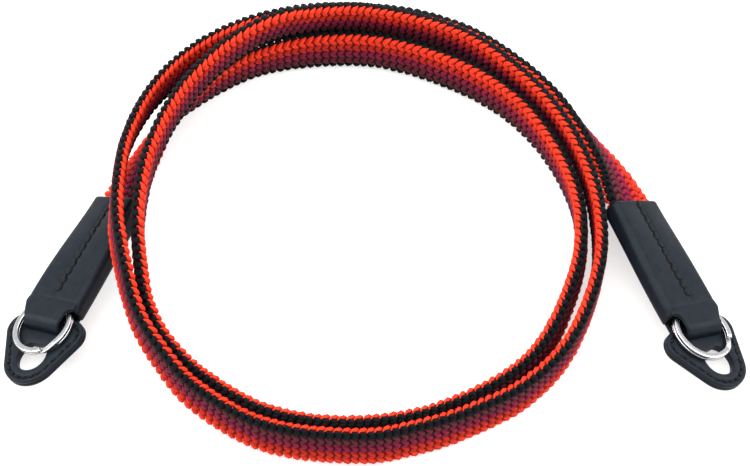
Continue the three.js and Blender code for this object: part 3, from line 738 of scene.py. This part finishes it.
def guardPlate(end, name):
    # A ring-shaped skin: for each step round the rim a loop that goes from the lug hole over the top
    # face to the rim, down its edge with the seam between the two layers, and back underneath
    rimA, rimB, turn, _ = guardRim(guard["rimPoints"])
    holeTurn = np.arctan2(rimB, rimA - guard["holeCentre"])[:, None]
    bottom, top = guard["top"] - guard["thickness"], guard["top"]
    middle = (bottom + top) / 2
    inset = np.array(guard["insets"])
    groove = np.exp(-((inset - seam["guardInset"]) / seam["grooveWidth"]) ** 2)
    rounding = np.interp(inset, inset[:4], guard["roundDrops"])
    drop = rounding + seam["grooveDepth"] * groove
    depth = np.concatenate([inset[::-1], guard["seamDepths"], inset])
    level = np.concatenate([top - drop[::-1], middle + np.array(guard["seamLevels"]), bottom + drop])
    outerA = rimA[:, None] - depth * np.cos(turn)[:, None]
    outerB = rimB[:, None] - depth * np.sin(turn)[:, None]
    holeInset, holeDrop = np.array(guard["holeInsets"]), np.array(guard["holeDrops"])
    ring = guard["holeRadius"] + np.concatenate([holeInset, [0, 0, 0], holeInset[::-1]])
    holeMiddle = middle + np.array(guard["holeMiddle"])
    holeLevel = np.concatenate([bottom + holeDrop, holeMiddle, top - holeDrop[::-1]])
    a = np.concatenate([outerA, guard["holeCentre"] + ring * np.cos(holeTurn)], 1)
    b = np.concatenate([outerB, ring * np.sin(holeTurn)], 1)
    c = np.broadcast_to(np.concatenate([level, holeLevel]), a.shape)
    points = placeInEnd(end, *turnGuard(end, a, b), c)
    faces = gridFaces(*a.shape, closedRows=True, flip=end["side"] < 0)
    plate = makeMesh(name, points, faces, leatherFinish, [name.split("_")[0] + "_ring_guard"])
    cutSlot(end, plate)


def cutSlot(end, plate):
    # The slot's space, a bar with round ends standing through the plate, is taken out of it
    turn = np.radians(np.arange(0, 360, guard["slotTurn"]))
    half = (guard["slotFront"] - guard["slotRear"]) / 2
    towards = np.where(turn < np.pi, 1, -1)
    a = (guard["slotRear"] + guard["slotFront"]) / 2 + half * np.cos(turn)
    b = half * np.sin(turn) + towards * (guard["slotHalfWidth"] - half)
    low = guard["top"] - guard["thickness"] - guard["slotReach"]
    levels = np.array([low, guard["top"] + guard["slotReach"]])[:, None]
    points, faces = cappedTube(placeInEnd(end, a[None], b[None], levels), flip=end["side"] > 0)
    cutter = makeMesh("slotSpace", points, faces, leatherFinish)
    cut = plate.modifiers.new("slot", "BOOLEAN")
    cut.object = cutter
    cut.operation = "DIFFERENCE"
    cut.solver = "EXACT"
    graph = bpy.context.evaluated_depsgraph_get()
    result = bpy.data.meshes.new_from_object(plate.evaluated_get(graph))
    plate.modifiers.clear()
    old = plate.data
    plate.data = result
    bpy.data.meshes.remove(old)
    bpy.data.objects.remove(cutter)
    result.polygons.foreach_set("use_smooth", np.ones(len(result.polygons), bool))
    result.set_sharp_from_angle(angle=np.radians(guard["sharpFrom"]))


ring = {
    "outer": 7.5, "inner": 6.2, "centre": 36.0, "lift": 0.3, "wire": 0.72, "pitch": 0.84, "edge": 0.2,
    "jog": 34, "steps": 230, "endBevels": (0.12, 0.03),
}


def splitRing(end, name):
    # Flat wire carried almost twice round a circle, stepping up by one wire where it passes its start
    turn = np.linspace(0, 720 - ring["jog"], ring["steps"])
    climb = smoothStep(turn, 360 - ring["jog"], 360)
    angle = np.radians(end["ringStart"] + turn)[:, None]
    halfWidth, halfHeight = (ring["outer"] - ring["inner"]) / 2, ring["wire"] / 2
    middle = (guard["top"] + ring["lift"] + halfHeight + climb * ring["pitch"])[:, None]
    b, c = roundedBar(halfWidth, -halfHeight, halfHeight, ring["edge"], across=2, upright=1, turn=4)
    inset = np.zeros((len(turn), 1))
    inset[:2, 0] = ring["endBevels"]
    inset[-2:, 0] = ring["endBevels"][::-1]
    radius = (ring["outer"] + ring["inner"]) / 2 + b * (1 - inset / halfWidth)
    height = middle + c * (1 - inset / halfHeight)
    points = placeInEnd(end, ring["centre"] + radius * np.cos(angle), radius * np.sin(angle), height)
    mesh, faces = cappedTube(points, flip=end["side"] < 0)
    makeMesh(name, mesh, faces, steelFinish, [name.split("_")[0] + "_split_ring"])


def threadRow(end, name, a, b, c, turn, size, turned):
    # Short sewn stitches: a seed at each place, its long axis along the row give or take the wander,
    # half sunk in its groove
    seed, seedFaces, _ = seedShape(seam["seedSides"], seam["seedStations"], seam["seedRadii"])
    turn = turn + np.radians(seam["wander"]) * np.where(np.arange(len(a)) % 2 == 0, 1, -1)
    cosine, sine = np.cos(turn)[:, None], np.sin(turn)[:, None]
    x = seed[None, :, 0] * size[0] / 2
    y = seed[None, :, 1] * size[1] / 2
    z = seed[None, :, 2] * seam["height"]
    along = a[:, None] + x * cosine - y * sine
    across = b[:, None] + x * sine + y * cosine
    if turned:
        along, across = turnGuard(end, along, across)
    points = placeInEnd(end, along, across, c[:, None] + z)
    faces = repeatFaces(seedFaces, len(seed), len(a))
    if end["side"] > 0:
        faces = np.where(faces[:, 3:] < 0, faces[:, [1, 0, 2, 3]], faces[:, ::-1])
    makeMesh(name, points, faces, threadFinish)


def sewEnd(end, name):
    # The sleeve's middle row, in its valley, and the guard's row all round, in its groove
    a = np.arange(seam["sleeveStart"], seam["sleeveEnd"], seam["pitch"])
    c = sleeve["thickness"] / 2 + faceRelief(a, 0 * a) + seam["sleeveRise"]
    threadRow(end, name + "_sleeve_thread", a, 0 * a, c, 0 * a, (seam["length"], seam["width"]), False)
    *_, length = guardRim(1)
    count = int(length / seam["pitch"])
    rimA, rimB, turn, _ = guardRim(count)
    a = rimA - seam["guardInset"] * np.cos(turn)
    b = rimB - seam["guardInset"] * np.sin(turn)
    c = np.full(count, guard["top"] - seam["grooveDepth"] + seam["guardRise"])
    size = (seam["guardLength"], seam["guardWidth"])
    threadRow(end, name + "_guard_thread", a, b, c, turn + np.pi / 2, size, True)


leatherFinish, threadFinish, steelFinish = leatherMaterial(), threadMaterial(), steelMaterial()
for sideName, endValues in ends.items():
    sleeveShell(endValues, sideName + "_sleeve_shell")
    tongueStrip(endValues, sideName + "_tongue")
    guardPlate(endValues, sideName + "_guard_plate")
    splitRing(endValues, sideName + "_ring_wire")
    sewEnd(endValues, sideName)
    print(sideName + " end made")


studio = {
    "distance": 640.0, "elevation": 63.0, "target": (0.0, 1.4, 0.0),
    "focalPixels": 2733.0, "imageWidth": 750.0, "sensor": 36, "sky": 0.85,
    # paper: its half width in metres, how far it lies under z = 0 in mm, its painted glow that lifts the
    # shadows on it, mm across fibres
    "paper": "#B4B4B2", "paperHalf": 3.0, "paperDrop": 0.25, "paperPaintedGlow": 0.6, "paperFibre": 1.5,
    # position mm, size mm, watts
    "lamps": {
        "overhead": ((-40, 100, 700), 900, 9.5),
        "left": ((-620, 120, 380), 420, 3.6),
        "right": ((600, 140, 360), 420, 3.2),
    },
}


def makeStudio():
    # White paper with a painted glow under the strap, an even sky, three soft boxes and the photograph's
    # camera
    half, level = studio["paperHalf"], -studio["paperDrop"] / 1000
    corners = [(-half, -half, level), (half, -half, level), (half, half, level), (-half, half, level)]
    mesh = bpy.data.meshes.new("paper")
    mesh.from_pydata(corners, [], [(0, 1, 2, 3)])
    paper = bpy.data.objects.new("paper", mesh)
    bpy.context.scene.collection.objects.link(paper)
    material, tree = newMaterial("whitePaper_matt_paintedGlow")
    place = addNode(tree, "ShaderNodeTexCoord")
    fibres = addNode(tree, "ShaderNodeTexNoise", inputs={
        "Vector": place.outputs["Object"], "Scale": 1000 / studio["paperFibre"], "Detail": 3.0,
    })
    bump = addNode(tree, "ShaderNodeBump", inputs={
        "Height": fibres.outputs["Fac"], "Strength": 0.05, "Distance": 0.00005,
    })
    # the paper's emission is a painted glow: the paper is no lamp, but it glows to lift the shadows under the
    # strap
    shader = addNode(tree, "ShaderNodeBsdfPrincipled", inputs={
        "Base Color": toLinear(studio["paper"]), "Roughness": 0.9, "Normal": bump.outputs["Normal"],
        "Emission Color": toLinear("#FFFFFF"), "Emission Strength": studio["paperPaintedGlow"],
    })
    addNode(tree, "ShaderNodeOutputMaterial", inputs={"Surface": shader.outputs["BSDF"]})
    mesh.materials.append(material)

    world = bpy.data.worlds.new("studioSky")
    bpy.context.scene.world = world
    world.use_nodes = True
    sky = world.node_tree.nodes["Background"]
    sky.inputs["Color"].default_value = toLinear("#FFFFFF")
    sky.inputs["Strength"].default_value = studio["sky"]

    target = np.array(studio["target"])
    for name, (position, size, watts) in studio["lamps"].items():
        lamp = bpy.data.lights.new(name, "AREA")
        lamp.shape = "SQUARE"
        lamp.size = size / 1000
        lamp.energy = watts
        light = bpy.data.objects.new(name, lamp)
        light.location = np.array(position) / 1000
        direction = target - np.array(position)
        light.rotation_euler = (
            np.arccos(-direction[2] / np.linalg.norm(direction)), 0,
            np.arctan2(direction[1], direction[0]) - np.pi / 2,
        )
        bpy.context.scene.collection.objects.link(light)

    tilt = np.radians(studio["elevation"])
    lens = bpy.data.cameras.new("photoCamera")
    lens.sensor_width = studio["sensor"]
    lens.lens = studio["focalPixels"] / studio["imageWidth"] * lens.sensor_width
    lens.clip_start = 0.01
    camera = bpy.data.objects.new("photoCamera", lens)
    camera.location = (target + studio["distance"] * np.array([0, -np.cos(tilt), np.sin(tilt)])) / 1000
    camera.rotation_euler = (np.pi / 2 - tilt, 0, 0)
    bpy.context.scene.collection.objects.link(camera)
    bpy.context.scene.camera = camera
    bpy.context.scene.view_settings.view_transform = "Standard"


makeStudio()
print("studio lit")
